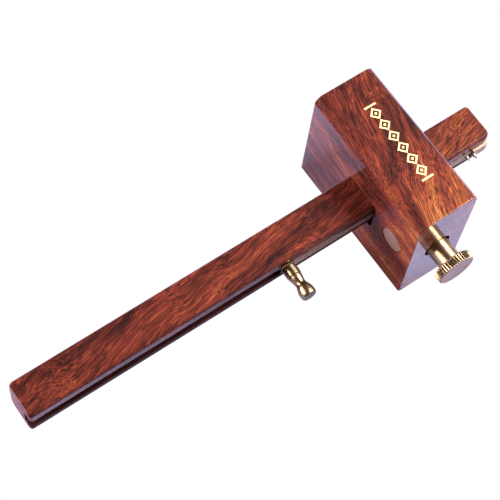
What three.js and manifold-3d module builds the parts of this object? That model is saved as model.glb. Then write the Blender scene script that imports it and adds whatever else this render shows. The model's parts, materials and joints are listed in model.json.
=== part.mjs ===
// Combined mortise and marking gauge: a rosewood stock that slides on a grooved rosewood beam,
// locked by a brass thumbscrew, with a brass slide that sets the spacing of two mortise pins.
//
// Millimetres. X runs along the beam towards the pins, Y along the stock with the thumbscrew at
// its -Y end, Z up. The origin is the centre of the stock's base. At rest the screw is tight.

import * as THREE from "three";
import { mergeVertices } from "three/addons/utils/BufferGeometryUtils.js";
import Module from "manifold-3d";

// ---- Driving dimensions ----

// Stock: a block with a rounded top, extruded along Y.
const stockThickness = 28;
const stockLength = 68;
const stockHeight = 58;
const stockTopRadius = 3.8;
const stockBaseRadius = 1.4;
const stockEndEase = 0.5;

// Beam: a square bar through the middle of the stock's height.
const beamLength = 216;
const beamWidth = 16;
const beamDepth = 16;
const beamOffset = 1; // how far the beam sits off the stock's middle, towards the screw
const beamTopRadius = 1.3;
const beamBaseRadius = 3;
const beamEndRadius = 2.2; // upright corners at the ends, on two opposite corners of the plan
const beamEndCorner = 1.2; // and on the other two
const beamEndEase = 0.5;
const pinEndReach = 31; // beam standing out of the stock's far face at rest

// Dovetail groove in the beam's side, and the brass that fills it.
const grooveMouth = 5.2;
const grooveFloor = 6.6;
const grooveDepth = 4.4;
const slideProud = 0.3;
const plateProud = 1;
const plateLength = 8.6;
const pinGap = 1; // open gap between the slide's mitred end and the plate's
const mitreSlope = 0.3; // run along X for each millimetre of height

// Steel pins.
const pinRadius = 0.8;
const pinReach = 2.3; // how far a tip stands out of the face that holds it
const pinPointLength = 1.8;
const pinInset = 1.1; // from a mitred end to the pin's axis, halfway up
const markingPinDepth = 6;
const markingPinInset = 7.5; // from the beam's end

// Slide knob, a turned pull.
const knobDistance = 40.7; // from the stock's front face to the knob's axis at rest
const knobBaseRadius = 3.05;
const knobBaseLength = 4.4;
const knobBeadRadius = 2.8; // the bead between base and neck
const knobBeadLength = 1.2;
const knobNeckRadius = 1.9;
const knobNeckLength = 4.7; // hollow from the bead to the bulb
const knobBulbRadius = 3.3;
const knobBulbLength = 4.4;
const knobStudRadius = 1.2;
const slideTail = 3; // slide bar beyond the knob's axis

// Fixing brad of the fixed plate.
const bradHeadRadius = 1;
const bradShankRadius = 0.6;
const bradLength = 7;
const bradCrown = 0.15; // how far the head stands above the plate
const bradInset = 3; // from the beam's end

// Thumbscrew and the parts it works with.
const shankRadius = 3;
const barrelRadius = 4.85;
const barrelShown = 8.9; // barrel between the stock's end and the head when tight
const barrelToNut = 2.8; // from the barrel's shoulder to the nut when tight
const headRadius = 8.2;
const headThickness = 4.1;
const headDish = 0.5;
const headRim = 1.6; // width of the flat ring round the dished face
const headEase = 0.6;
const knurlCount = 44;
const knurlDepth = 0.4;
const nutRadius = 5.6;
const nutLength = 21;
const nutWall = 0.3; // wood between the nut and the shoe's pocket
const shoeRadius = 4;
const shoeThickness = 3;
const screwTravel = 3; // how far the screw and shoe can back off

// Clearances.
const slidingGap = 0.3; // beam in mortise, shoe on slide, shank in nut
const grooveGap = 0.2; // brass in its groove, each side
const pressGap = 0.1; // studs and pins in their holes
const screwSideGap = 1.5; // mortise wall to beam on the screw's side
const boreGap = 0.6; // bores in the stock around moving brass
const counterboreGap = 1.15; // round the barrel, where it enters the stock
const nutRecess = 0.3; // nut's end below the stock's front face
const brassEdge = 0.4; // chamfer on the ends of turned brass
const cutPast = 2; // how far a cutter runs past the face it opens

// ---- Places that follow from them ----

const frontFace = -stockThickness / 2;
const farFace = stockThickness / 2;
const screwEnd = -stockLength / 2;
const beamAxisY = -beamOffset;
const beamAxisZ = stockHeight / 2;
const beamRight = farFace + pinEndReach;
const beamLeft = beamRight - beamLength;
const beamScrewSide = beamAxisY - beamWidth / 2;
const beamFarSide = beamAxisY + beamWidth / 2;
const slideFace = beamScrewSide - slideProud;
const plateFace = beamScrewSide - plateProud;
const plateLeft = beamRight - plateLength;
const slideRight = plateLeft - pinGap;
const knobX = frontFace - knobDistance;
const mortiseScrewWall = beamScrewSide - screwSideGap;
const shoeFace = slideFace - slidingGap;
const shoeBack = shoeFace - shoeThickness;
const shankTip = shoeBack - slidingGap;
const shoePocketEnd = shoeBack - screwTravel - boreGap;
const headBack = screwEnd - barrelShown;
const headFront = headBack - headThickness;
const nutY = shoePocketEnd - nutWall - nutRadius;
const barrelEnd = nutY - nutRadius - barrelToNut;

const ROUND = 40; // facets of a turned piece
const SMALL_ROUND = 20; // facets of a pin

// ---- Joining and cutting ----

const wasm = await Module();
wasm.setup();

function solidOf(geometry) {
  const bare = geometry.clone();
  bare.deleteAttribute("normal");
  bare.deleteAttribute("uv");
  const merged = mergeVertices(bare, 1e-4);
  return new wasm.Manifold(
    new wasm.Mesh({
      numProp: 3,
      vertProperties: merged.attributes.position.array,
      triVerts: new Uint32Array(merged.index.array),
    }),
  );
}

function geometryOf(solid) {
  const { vertProperties, triVerts } = solid.getMesh();
  const indexed = new THREE.BufferGeometry();
  indexed.setAttribute("position", new THREE.BufferAttribute(vertProperties, 3));
  indexed.setIndex(new THREE.BufferAttribute(triVerts, 1));
  const flat = indexed.toNonIndexed();
  flat.computeVertexNormals();
  return flat;
}

function cut(base, ...tools) {
  return tools.reduce((left, tool) => left.subtract(tool), base);
}

function join(...pieces) {
  return pieces.reduce((sum, piece) => sum.add(piece));
}

// ---- Outlines and basic solids ----

// Turns (u, v, w) of an extrusion into row axes: w runs along the named axis, and u and v along
// the two that follow it in the order X, Y, Z, X, Y.
const EXTRUSION_AXES = {
  x: new THREE.Matrix4().set(0, 0, 1, 0, 1, 0, 0, 0, 0, 1, 0, 0, 0, 0, 0, 1),
  y: new THREE.Matrix4().set(0, 1, 0, 0, 0, 0, 1, 0, 1, 0, 0, 0, 0, 0, 0, 1),
  z: new THREE.Matrix4(),
};

// A prism between two places along an axis. ease rounds off the edges of its two ends.
function prism(axis, outline, from, to, ease = 0) {
  const geometry = new THREE.ExtrudeGeometry(outline, {
    depth: to - from - 2 * ease,
    bevelEnabled: ease > 0,
    bevelThickness: ease,
    bevelSize: ease,
    bevelOffset: -ease,
    bevelSegments: 2,
    curveSegments: 8,
  });
  geometry.translate(0, 0, from + ease);
  geometry.applyMatrix4(EXTRUSION_AXES[axis]);
  return solidOf(geometry);
}

// A rectangle with its own radius at each corner, in the order low-low, high-low, high-high, low-high.
function roundedRectangle(uLow, uHigh, vLow, vHigh, radii) {
  const [ll, hl, hh, lh] = radii;
  const outline = new THREE.Shape();
  outline.moveTo(uLow + ll, vLow);
  outline.lineTo(uHigh - hl, vLow);
  outline.absarc(uHigh - hl, vLow + hl, hl, -Math.PI / 2, 0);
  outline.lineTo(uHigh, vHigh - hh);
  outline.absarc(uHigh - hh, vHigh - hh, hh, 0, Math.PI / 2);
  outline.lineTo(uLow + lh, vHigh);
  outline.absarc(uLow + lh, vHigh - lh, lh, Math.PI / 2, Math.PI);
  outline.lineTo(uLow, vLow + ll);
  outline.absarc(uLow + ll, vLow + ll, ll, Math.PI, 1.5 * Math.PI);
  return outline;
}

function polygon(points) {
  return new THREE.Shape(points.map(([u, v]) => new THREE.Vector2(u, v)));
}

// A turned solid. Its profile is a list of [radius, place along the axis], from the low end to
// the high end, and it starts and ends on the axis. at is a point that the axis passes through.
function turned(axis, profile, at, facets = ROUND) {
  const points = profile.map(([radius, place]) => new THREE.Vector2(radius, place));
  const geometry = new THREE.LatheGeometry(points, facets);
  if (axis === "x") geometry.rotateZ(-Math.PI / 2);
  geometry.translate(...at);
  return solidOf(geometry);
}

function rod(axis, radius, from, to, at, facets = ROUND) {
  return turned(axis, [[0, from], [radius, from], [radius, to], [0, to]], at, facets);
}

// ---- Shared sections ----

const onScrewAxis = [0, 0, beamAxisZ];
const atHeight = (x) => [x, 0, beamAxisZ];

// The dovetail section in Y and Z, shrunk all round by gap, with its face at faceY.
function dovetail(faceY, gap) {
  const mouth = grooveMouth / 2 - gap;
  const floor = grooveFloor / 2 - gap;
  const floorY = beamScrewSide + grooveDepth - gap;
  return polygon([
    [faceY, beamAxisZ - mouth],
    [beamScrewSide, beamAxisZ - mouth],
    [floorY, beamAxisZ - floor],
    [floorY, beamAxisZ + floor],
    [beamScrewSide, beamAxisZ + mouth],
    [faceY, beamAxisZ + mouth],
  ]);
}

// The beam's outline seen from above, grown by grow on the screw's side.
function beamPlan(grow) {
  return roundedRectangle(
    beamLeft,
    beamRight,
    beamScrewSide - grow,
    beamFarSide,
    [beamEndCorner, beamEndRadius + grow / 2, beamEndCorner, beamEndRadius],
  );
}

// Everything beyond a mitre that leans over the brass at place x: side 1 is towards +X, -1 towards -X.
function mitreCutter(x, side) {
  const half = beamDepth / 2;
  const lean = mitreSlope * half;
  const far = x + side * beamLength;
  const corners = [
    [beamAxisZ - half, x - lean],
    [beamAxisZ + half, x + lean],
    [beamAxisZ + half, far],
    [beamAxisZ - half, far],
  ];
  return prism("y", polygon(side > 0 ? corners : corners.reverse()), plateFace - cutPast, beamAxisY);
}

// A steel pin that points along -Y (side -1) or +Y (side 1) out of the face at faceY.
function steelPin(x, faceY, depth, side) {
  const tip = faceY + side * pinReach;
  const shoulder = tip - side * pinPointLength;
  const foot = faceY - side * depth;
  const profile = [[0, foot], [pinRadius, foot], [pinRadius, shoulder], [0, tip]];
  return turned("y", side > 0 ? profile : profile.reverse(), atHeight(x), SMALL_ROUND);
}

// The hole that a steel pin is pressed into.
function pinHole(x, faceY, depth, side) {
  const foot = faceY - side * (depth + pressGap);
  const mouth = faceY + side * cutPast;
  return rod(
    "y",
    pinRadius + pressGap,
    Math.min(foot, mouth),
    Math.max(foot, mouth),
    atHeight(x),
    SMALL_ROUND,
  );
}

const bradX = beamRight - bradInset;
const fixedPinX = plateLeft + pinInset;
const slidingPinX = slideRight - pinInset;
const markingPinX = beamRight - markingPinInset;
const slidePinDepth = slideProud + grooveDepth - 3 * grooveGap;
const platePinDepth = plateProud + grooveDepth - 3 * grooveGap;

// ---- The pieces ----

function stock() {
  const section = roundedRectangle(
    0,
    stockHeight,
    frontFace,
    farFace,
    [stockBaseRadius, stockTopRadius, stockTopRadius, stockBaseRadius],
  );
  const block = prism("y", section, screwEnd, stockLength / 2, stockEndEase);
  const corner = beamTopRadius + slidingGap;
  const mortise = prism(
    "x",
    roundedRectangle(
      mortiseScrewWall,
      beamFarSide + slidingGap,
      beamAxisZ - beamDepth / 2 - slidingGap,
      beamAxisZ + beamDepth / 2 + slidingGap,
      [corner, corner, corner, corner],
    ),
    frontFace - cutPast,
    farFace + cutPast,
  );
  const shoePocket = rod("y", shoeRadius + boreGap, shoePocketEnd, mortiseScrewWall + cutPast, onScrewAxis);
  const shankBore = rod("y", shankRadius + boreGap, screwEnd, shoePocketEnd + cutPast, onScrewAxis);
  const counterbore = rod("y", barrelRadius + counterboreGap, headBack, barrelEnd + boreGap, onScrewAxis);
  const nutBore = rod(
    "x",
    nutRadius + pressGap,
    frontFace - cutPast,
    frontFace + nutRecess + nutLength + pressGap,
    [0, nutY, beamAxisZ],
  );
  return cut(block, mortise, shoePocket, shankBore, counterbore, nutBore);
}

function beam() {
  const section = roundedRectangle(
    beamScrewSide,
    beamFarSide,
    beamAxisZ - beamDepth / 2,
    beamAxisZ + beamDepth / 2,
    [beamBaseRadius, beamBaseRadius, beamTopRadius, beamTopRadius],
  );
  const bar = prism("x", section, beamLeft, beamRight);
  const low = beamAxisZ - beamDepth / 2;
  const plan = prism("z", beamPlan(0), low, low + beamDepth, beamEndEase);
  const groove = prism("x", dovetail(beamScrewSide - cutPast, 0), beamLeft - cutPast, beamRight + cutPast);
  const bradHole = rod(
    "y",
    bradShankRadius + pressGap,
    beamScrewSide,
    plateFace + bradLength + pressGap,
    atHeight(bradX),
    SMALL_ROUND,
  );
  return cut(
    bar.intersect(plan),
    groove,
    bradHole,
    pinHole(markingPinX, beamFarSide, markingPinDepth, 1),
  );
}

function barrelNut() {
  const start = frontFace + nutRecess;
  const end = start + nutLength;
  const body = turned(
    "x",
    [
      [0, start],
      [nutRadius - brassEdge, start],
      [nutRadius, start + brassEdge],
      [nutRadius, end - brassEdge],
      [nutRadius - brassEdge, end],
      [0, end],
    ],
    [0, nutY, beamAxisZ],
  );
  const thread = rod(
    "y",
    shankRadius + slidingGap,
    nutY - nutRadius - cutPast,
    nutY + nutRadius + cutPast,
    onScrewAxis,
  );
  return cut(body, thread);
}

// The knurled rim: straight V grooves all round, with the rim's two edges taken off.
function knurledHead() {
  const points = [];
  for (let i = 0; i < 2 * knurlCount; i += 1) {
    const radius = i % 2 ? headRadius - knurlDepth : headRadius;
    const angle = (Math.PI * i) / knurlCount;
    points.push([radius * Math.cos(angle), radius * Math.sin(angle)]);
  }
  const rim = prism("y", polygon(points), headFront, headBack).translate([0, 0, beamAxisZ]);
  const dishRadius = headRadius - headRim;
  const clear = headRadius + brassEdge;
  const blank = turned(
    "y",
    [
      [0, headFront + headDish],
      [dishRadius, headFront + headDish / 2],
      [dishRadius + headDish / 2, headFront],
      [headRadius - headEase, headFront],
      [clear, headFront + headEase + brassEdge],
      [clear, headBack - headEase - brassEdge],
      [headRadius - headEase, headBack],
      [0, headBack],
    ],
    onScrewAxis,
  );
  return rim.intersect(blank);
}

function thumbscrew() {
  const root = headBack - headEase; // inside the head, so that the two fuse
  const stem = turned(
    "y",
    [
      [0, root],
      [barrelRadius, root],
      [barrelRadius, barrelEnd - brassEdge],
      [barrelRadius - brassEdge, barrelEnd],
      [shankRadius, barrelEnd],
      [shankRadius, shankTip - brassEdge],
      [shankRadius - brassEdge, shankTip],
      [0, shankTip],
    ],
    onScrewAxis,
  );
  return join(knurledHead(), stem);
}

function pressureShoe() {
  return turned(
    "y",
    [
      [0, shoeBack],
      [shoeRadius - brassEdge, shoeBack],
      [shoeRadius, shoeBack + brassEdge],
      [shoeRadius, shoeFace - brassEdge],
      [shoeRadius - brassEdge, shoeFace],
      [0, shoeFace],
    ],
    onScrewAxis,
  );
}

function slideBar() {
  const bar = prism("x", dovetail(slideFace, grooveGap), knobX - slideTail, slideRight + cutPast);
  const studHole = rod(
    "y",
    knobStudRadius + pressGap,
    slideFace - cutPast,
    slideFace + slidePinDepth + pressGap,
    atHeight(knobX),
    SMALL_ROUND,
  );
  return cut(
    bar,
    mitreCutter(slideRight, 1),
    studHole,
    pinHole(slidingPinX, slideFace, slidePinDepth, -1),
  );
}

// A smooth hollow or swell of a turned profile, from one radius to another, first point left out.
function sweep(fromRadius, fromPlace, toRadius, toPlace) {
  const steps = 5;
  return Array.from({ length: steps }, (_, i) => {
    const t = (i + 1) / steps;
    const ease = (1 - Math.cos(Math.PI * t)) / 2;
    return [fromRadius + (toRadius - fromRadius) * ease, fromPlace + (toPlace - fromPlace) * t];
  });
}

function slideKnob() {
  const seat = slideFace - pressGap;
  const foot = slideFace + slidePinDepth;
  const baseEnd = seat - knobBaseLength;
  const beadEnd = baseEnd - knobBeadLength;
  const neck = beadEnd - knobNeckLength / 2;
  const bulbStart = beadEnd - knobNeckLength;
  const tip = bulbStart - knobBulbLength;
  return turned(
    "y",
    [
      [0, tip],
      [knobBulbRadius - 2 * brassEdge, tip],
      ...sweep(knobBulbRadius - 2 * brassEdge, tip, knobBulbRadius, tip + knobBulbLength / 2),
      [knobBulbRadius - brassEdge / 2, bulbStart],
      ...sweep(knobBulbRadius - brassEdge, bulbStart + brassEdge / 2, knobNeckRadius, neck),
      ...sweep(knobNeckRadius, neck, knobBeadRadius, beadEnd),
      [knobBeadRadius, baseEnd - brassEdge],
      [knobBeadRadius - brassEdge, baseEnd - brassEdge / 2],
      [knobBaseRadius, baseEnd],
      [knobBaseRadius, seat - brassEdge],
      [knobBaseRadius - brassEdge, seat],
      [knobStudRadius, seat],
      [knobStudRadius, foot],
      [0, foot],
    ],
    atHeight(knobX),
  );
}

function fixedPlate() {
  const bar = prism("x", dovetail(plateFace, grooveGap), plateLeft - cutPast, beamRight);
  const low = beamAxisZ - beamDepth / 2;
  const plan = prism("z", beamPlan(plateProud), low, low + beamDepth);
  const brad = rod(
    "y",
    bradShankRadius + pressGap,
    plateFace - cutPast,
    beamAxisY,
    atHeight(bradX),
    SMALL_ROUND,
  );
  const head = turned(
    "y",
    [
      [0, plateFace - cutPast],
      [bradHeadRadius + pressGap, plateFace - cutPast],
      [bradHeadRadius + pressGap, plateFace],
      [bradShankRadius + pressGap, plateFace + bradHeadRadius],
      [0, plateFace + bradHeadRadius],
    ],
    atHeight(bradX),
    SMALL_ROUND,
  );
  return cut(
    bar.intersect(plan),
    mitreCutter(plateLeft, -1),
    brad,
    head,
    pinHole(fixedPinX, plateFace, platePinDepth, -1),
  );
}

function plateBrad() {
  return turned(
    "y",
    [
      [0, plateFace - bradCrown],
      [bradHeadRadius - bradCrown, plateFace - bradCrown],
      [bradHeadRadius, plateFace],
      [bradShankRadius, plateFace + bradHeadRadius],
      [bradShankRadius, plateFace + bradLength - bradHeadRadius],
      [0, plateFace + bradLength],
    ],
    atHeight(bradX),
    SMALL_ROUND,
  );
}

// ---- Finishes and assembly ----

const LACQUERED = { roughness: 0.3, metalness: 0 };
const POLISHED = { roughness: 0.2, metalness: 1 };
const DRAWN = { roughness: 0.3, metalness: 1 };
const DULL = { roughness: 0.4, metalness: 1 };
const TURNED_BRASS_COLOR = 0xcaa877;
const STEEL_COLOR = 0x8a8c90;

const gauge = new THREE.Group();
gauge.name = "marking_gauge";

function place(name, solid, color, finish) {
  const material = new THREE.MeshStandardMaterial({ color, ...finish });
  const mesh = new THREE.Mesh(geometryOf(solid), material);
  mesh.name = name;
  gauge.add(mesh);
}

place("stock", stock(), 0x6e2f26, LACQUERED);
place("beam", beam(), 0x7d382a, LACQUERED);
place("barrel_nut", barrelNut(), 0xb08d6a, DULL);
place("thumbscrew", thumbscrew(), TURNED_BRASS_COLOR, POLISHED);
place("pressure_shoe", pressureShoe(), 0xc2a06c, DULL);
place("slide_bar", slideBar(), 0xb59a84, DRAWN);
place("slide_knob", slideKnob(), TURNED_BRASS_COLOR, POLISHED);
place("fixed_plate", fixedPlate(), 0xb3a698, DRAWN);
place("plate_brad", plateBrad(), 0xbfa98c, DRAWN);
place("fixed_pin", steelPin(fixedPinX, plateFace, platePinDepth, -1), STEEL_COLOR, DRAWN);
place("sliding_pin", steelPin(slidingPinX, slideFace, slidePinDepth, -1), STEEL_COLOR, DRAWN);
place("marking_pin", steelPin(markingPinX, beamFarSide, markingPinDepth, 1), STEEL_COLOR, DRAWN);

export default gauge;
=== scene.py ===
"""The looks of a combined mortise and marking gauge: a lacquered rosewood stock and beam, a brass
thumbscrew, slide, knob and plate, and steel pins. It is laid out as an add-on and run as a script.
Lengths are in metres. X runs along the beam towards the pins, the thumbscrew points along -Y, and
the stock stands on z = 0. Every place is worked out from the boxes of the frame's own nodes.
"""

import json
import math

import bmesh
import bpy
from mathutils import Matrix, Vector


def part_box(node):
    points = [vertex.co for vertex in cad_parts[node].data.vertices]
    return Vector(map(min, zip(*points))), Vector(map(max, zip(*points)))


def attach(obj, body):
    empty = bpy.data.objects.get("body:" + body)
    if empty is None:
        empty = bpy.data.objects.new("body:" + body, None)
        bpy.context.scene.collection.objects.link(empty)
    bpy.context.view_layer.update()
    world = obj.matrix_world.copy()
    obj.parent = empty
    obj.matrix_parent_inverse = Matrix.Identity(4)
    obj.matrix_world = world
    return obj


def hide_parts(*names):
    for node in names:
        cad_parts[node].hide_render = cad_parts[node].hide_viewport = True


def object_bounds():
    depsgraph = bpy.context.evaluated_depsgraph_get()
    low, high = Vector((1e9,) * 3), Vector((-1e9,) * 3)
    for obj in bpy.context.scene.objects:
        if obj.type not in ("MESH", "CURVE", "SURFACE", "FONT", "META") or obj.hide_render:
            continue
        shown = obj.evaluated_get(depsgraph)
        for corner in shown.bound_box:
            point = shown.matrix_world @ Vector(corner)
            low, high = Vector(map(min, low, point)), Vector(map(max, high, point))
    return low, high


bl_info = {
    "name": "Marking Gauge",
    "version": (1, 0, 0),
    "blender": (4, 5, 0),
    "location": "3D View > Sidebar > Gauge",
    "description": "Models and finishes a combined mortise and marking gauge",
    "category": "Mesh",
}

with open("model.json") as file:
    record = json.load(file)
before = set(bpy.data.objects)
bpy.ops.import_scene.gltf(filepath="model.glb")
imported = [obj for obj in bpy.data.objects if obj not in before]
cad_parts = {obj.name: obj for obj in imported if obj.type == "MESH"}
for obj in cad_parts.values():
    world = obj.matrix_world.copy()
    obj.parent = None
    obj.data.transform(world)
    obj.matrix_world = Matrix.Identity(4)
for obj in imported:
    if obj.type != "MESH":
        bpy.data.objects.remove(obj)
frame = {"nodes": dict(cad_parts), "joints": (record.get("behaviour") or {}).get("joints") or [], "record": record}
CAD_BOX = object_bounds()

MM = 0.001
X, Y, Z = 0, 1, 2
FULL_TURN = 2 * math.pi
SENSOR_WIDTH = 36  # The camera's, in millimetres
MITRE_LEAN = 0.3
GRAIN_LEAN = math.radians(13)

STOCK_LOW, STOCK_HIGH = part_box("stock")
BEAM_LOW, BEAM_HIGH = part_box("beam")
AXIS_Z = (BEAM_LOW.z + BEAM_HIGH.z) / 2
CENTRE = (CAD_BOX[0] + CAD_BOX[1]) / 2


def middle(node):
    """The centre of a CAD node's box."""
    low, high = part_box(node)
    return (low + high) / 2


def length_property(name, description, millimetres):
    return bpy.props.FloatProperty(
        name=name, description=description, default=millimetres * MM, min=0.0, precision=5, unit="LENGTH"
    )


def colour_property(name, description, default):
    return bpy.props.FloatVectorProperty(
        name=name, description=description, default=default, size=3, min=0.0, max=1.0, subtype="COLOR"
    )


def angle_property(name, description, degrees):
    return bpy.props.FloatProperty(
        name=name, description=description, default=math.radians(degrees), subtype="ANGLE"
    )


def power_property(name, description, watts):
    return bpy.props.FloatProperty(name=name, description=description, default=watts, unit="POWER")


# ---- What a user may change ----


class GAUGE_PG_sizes(bpy.types.PropertyGroup):
    """Roundings and small details, which the frame's boxes don't give"""

    stock_top: length_property("Stock top", "Radius along the stock's two top edges", 3.8)
    stock_base: length_property("Stock base", "Radius along the stock's two base edges", 1.4)
    stock_ends: length_property("Stock ends", "Easing round the stock's end faces", 0.5)
    beam_top: length_property("Beam top", "Radius along the beam's top edges", 1.3)
    beam_base: length_property("Beam base", "Radius along the beam's lower edges", 3.0)
    beam_corner: length_property("Beam corner", "Upright corner at the pins, on the screw's side", 2.2)
    beam_small_corner: length_property("Beam small corner", "The end's other upright corner", 1.2)
    beam_ends: length_property("Beam ends", "Easing over the top and base of the beam's ends", 0.5)
    mortise_gap: length_property("Mortise gap", "Mortise wall to beam, all round but one side", 0.3)
    mortise_screw_gap: length_property("Screw side gap", "Mortise wall to beam, on the screw's side", 1.5)
    groove_mouth: length_property("Groove mouth", "Width of the dovetail groove at the beam's side", 5.2)
    groove_floor: length_property("Groove floor", "Width of the dovetail groove at its floor", 6.6)
    groove_depth: length_property("Groove depth", "Depth of the dovetail groove", 4.4)
    groove_gap: length_property("Groove gap", "Clearance round the brass in its groove", 0.2)
    crisp_edge: length_property("Crisp edge", "Wear along edges that were cut square", 0.12)
    knurl_depth: length_property("Knurl depth", "Depth of the knurls round the screw's head", 0.4)
    knurls: bpy.props.IntProperty(
        name="Knurls", description="Knurls round the screw's head", default=44, min=8, max=120
    )
    thread_pitch: length_property("Thread pitch", "Distance from one thread crest to the next", 1.0)


class GAUGE_PG_finish(bpy.types.PropertyGroup):
    """Colours of the finishes"""

    heart: colour_property("Dark grain", "Darkest streaks of the rosewood", (0.016, 0.0035, 0.0035))
    body: colour_property("Red grain", "Main colour of the rosewood", (0.085, 0.0145, 0.0085))
    flame: colour_property("Orange grain", "Light streaks of the rosewood", (0.24, 0.058, 0.018))
    amber: colour_property("Amber grain", "The palest streaks of the rosewood", (0.42, 0.15, 0.045))
    brass: colour_property("Polished brass", "Turned and polished brass", (0.36, 0.255, 0.15))
    dull_brass: colour_property("Drawn brass", "Drawn brass strip", (0.40, 0.285, 0.205))
    nut_brass: colour_property("Nut end", "Faced end of the barrel nut", (0.84, 0.55, 0.35))
    face_brass: colour_property("Screw face", "Dull face of the screw's head", (0.30, 0.215, 0.19))
    steel: colour_property("Steel", "Ground steel of the pins", (0.42, 0.43, 0.45))
    gilt: colour_property("Gilt", "Stamped ornament on the stock", (0.74, 0.60, 0.30))
    lacquer: bpy.props.FloatProperty(
        name="Lacquer", description="Strength of the clear coat", default=1.0, min=0.0, max=1.0
    )


class GAUGE_PG_studio(bpy.types.PropertyGroup):
    """Camera and light"""

    turn: angle_property("Turn", "Direction that the camera looks in, from +Y towards +X", 43.55)
    height: angle_property("Height", "How steeply the camera looks down", 65.12)
    roll: angle_property("Roll", "Turn of the picture", 9.41)
    distance: length_property("Distance", "Camera to the point it looks at", 621.7)
    lens: bpy.props.FloatProperty(
        name="Lens", description="Focal length, for a sensor 36 mm wide", default=114.93, unit="CAMERA"
    )
    key: power_property("Key", "Main softbox", 25.0)
    fill: power_property("Fill", "Softbox beyond the beam's plain end", 25.0)
    front: power_property("Front", "Softbox on the screw's side", 1.3)
    sky: bpy.props.FloatProperty(
        name="Sky", description="Strength of the room's light", default=0.3, min=0.0
    )
    floor: colour_property("Floor", "What the floor reflects; the camera sees white", (0.40, 0.41, 0.65))


def sizes():
    return bpy.context.scene.gauge_sizes


def finish():
    return bpy.context.scene.gauge_finish


# ---- Modelling steps ----


def object_mode():
    if bpy.context.object and bpy.context.object.mode != "OBJECT":
        bpy.ops.object.mode_set(mode="OBJECT")


def select_nothing():
    object_mode()
    bpy.ops.object.select_all(action="DESELECT")


def activate(piece):
    select_nothing()
    piece.select_set(True)
    bpy.context.view_layer.objects.active = piece


def settle(piece, name):
    """Names a new primitive and moves its place, turn and scale into its mesh."""
    activate(piece)
    piece.name = name
    piece.data.name = name
    bpy.ops.object.transform_apply(location=True, rotation=True, scale=True)
    return piece


def pick(piece, kind, test):
    """In edit mode, selects only the vertices, edges or faces that pass the test."""
    activate(piece)
    bpy.ops.object.mode_set(mode="EDIT")
    mode = {"verts": "VERT", "edges": "EDGE", "faces": "FACE"}[kind]
    bpy.ops.mesh.select_mode(type=mode)
    bpy.ops.mesh.select_all(action="DESELECT")
    mesh = bmesh.from_edit_mesh(piece.data)
    for item in getattr(mesh, kind):
        item.select_set(bool(test(item)))
    mesh.select_flush_mode()
    bmesh.update_edit_mesh(piece.data)


def near(value, wanted, tolerance=1e-5):
    return abs(value - wanted) < tolerance


def step_along(axis, length):
    """A vector of this length along an axis."""
    step = Vector((0, 0, 0))
    step[axis] = length
    return step


def block(name, low, high):
    """A block between two corners, as a start for shaping."""
    low, high = Vector(low), Vector(high)
    select_nothing()
    bpy.ops.mesh.primitive_cube_add(size=1, location=(low + high) / 2)
    piece = bpy.context.object
    piece.scale = high - low
    return settle(piece, name)


# How a flat plane is turned so that its normal lies along an axis, and its own x and y along the next two.
PLANE_TURNS = {X: (math.pi / 2, 0, math.pi / 2), Y: (math.pi / 2, 0, 0), Z: (0, 0, 0)}


def section(name, axis, low, high):
    """A rectangle across an axis, at the low end of it."""
    low, high = Vector(low), Vector(high)
    across = [i for i in (X, Y, Z) if i != axis]
    centre = (low + high) / 2
    centre[axis] = low[axis]
    select_nothing()
    bpy.ops.mesh.primitive_plane_add(size=1, location=centre, rotation=PLANE_TURNS[axis])
    piece = bpy.context.object
    piece.scale = (high[across[0]] - low[across[0]], high[across[1]] - low[across[1]], 1)
    return settle(piece, name)


def round_corners(piece, radius, segments, test):
    """Rounds the corners of a section that pass the test."""
    pick(piece, "verts", test)
    bpy.ops.mesh.bevel(offset=radius, segments=segments, affect="VERTICES", clamp_overlap=False)


def stretch(piece, axis, stations):
    """Extrudes a section along an axis through a list of stations.

    Each station is (place, {other axis: (low, high)}), and gives the section's new edges there, which
    lie closer together or further apart than the last ones, or are the same.
    """
    pick(piece, "faces", lambda face: True)
    for place, edges in stations:
        mesh = bmesh.from_edit_mesh(piece.data)
        chosen = [vertex.co.copy() for vertex in mesh.verts if vertex.select]
        move = step_along(axis, place - chosen[0][axis])
        if move.length > 1e-9:
            bpy.ops.mesh.extrude_region_move(TRANSFORM_OT_translate={"value": move})
        for other, (low, high) in edges.items():
            old_low = min(co[other] for co in chosen)
            old_high = max(co[other] for co in chosen)
            scale = (high - low) / (old_high - old_low)
            if near(scale, 1, 1e-9):
                continue
            factors = Vector((1, 1, 1))
            factors[other] = scale
            fixed = step_along(other, (low - scale * old_low) / (1 - scale))
            bpy.ops.transform.resize(value=factors, center_override=fixed)
    tidy_shell(piece)


def tidy_shell(piece):
    """Merges doubles and turns every face outwards."""
    activate(piece)
    bpy.ops.object.mode_set(mode="EDIT")
    bpy.ops.mesh.select_mode(type="VERT")
    bpy.ops.mesh.select_all(action="SELECT")
    bpy.ops.mesh.remove_doubles(threshold=1e-7)
    bpy.ops.mesh.normals_make_consistent(inside=False)
    object_mode()


def inset_at(distance, radius):
    """How far a corner of this radius has drawn in, at a distance from the end."""
    if distance >= radius:
        return 0.0
    return radius - math.sqrt(max(radius * radius - (radius - distance) ** 2, 0.0))


def arc_distances(radius, steps):
    """Distances from the end at which a corner of this radius gets a station, far one first."""
    return [radius * (1 - math.sin(math.pi / 2 * i / steps)) for i in range(steps + 1)]


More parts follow.
